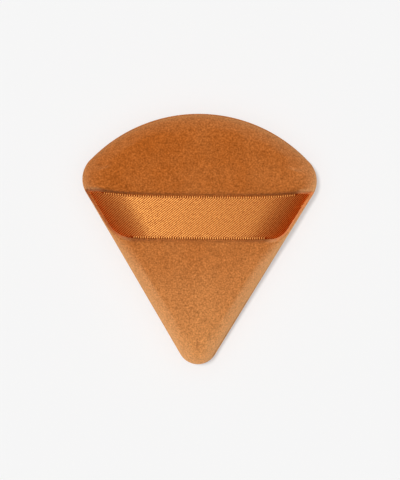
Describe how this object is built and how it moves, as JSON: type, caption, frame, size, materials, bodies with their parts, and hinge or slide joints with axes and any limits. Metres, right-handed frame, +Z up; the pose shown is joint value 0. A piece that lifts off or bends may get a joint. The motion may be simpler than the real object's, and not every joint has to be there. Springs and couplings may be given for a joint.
{
  "type": "powder puff",
  "caption": "Rounded-triangle powder puff: velour panels sewn round a foam core, with a satin ribbon finger strap across the back.",
  "frame": {"origin": "middle of the pad's outline box, on the table plane under the flat applicator face", "axes": "+X to the right across the pad, +Y from the tip towards the round edge, +Z up from the applicator face to the ribbon strap"},
  "size_m": [0.0702, 0.075, 0.0127],
  "materials": {
    "velour": "short dense pile, matt with a soft sheen",
    "satin_ribbon": "satin twill, soft gloss",
    "foam": "open-cell foam, matt",
    "sewing_thread": "twisted polyester, matt"
  },
  "bodies": {
    "puff": {"upper_velour_panel": "velour", "lower_velour_panel": "velour", "foam_core": "foam", "seam_thread": "sewing_thread", "closing_thread": "sewing_thread"},
    "strap": {"ribbon_strap": "satin_ribbon"}
  },
  "joints": [
    {"name": "strap_lift", "type": "slide", "parent": "puff", "child": "strap", "axis": [0, 0, 1], "range_m": [0, 0.008], "deforming": ["ribbon_strap"]}
  ]
}
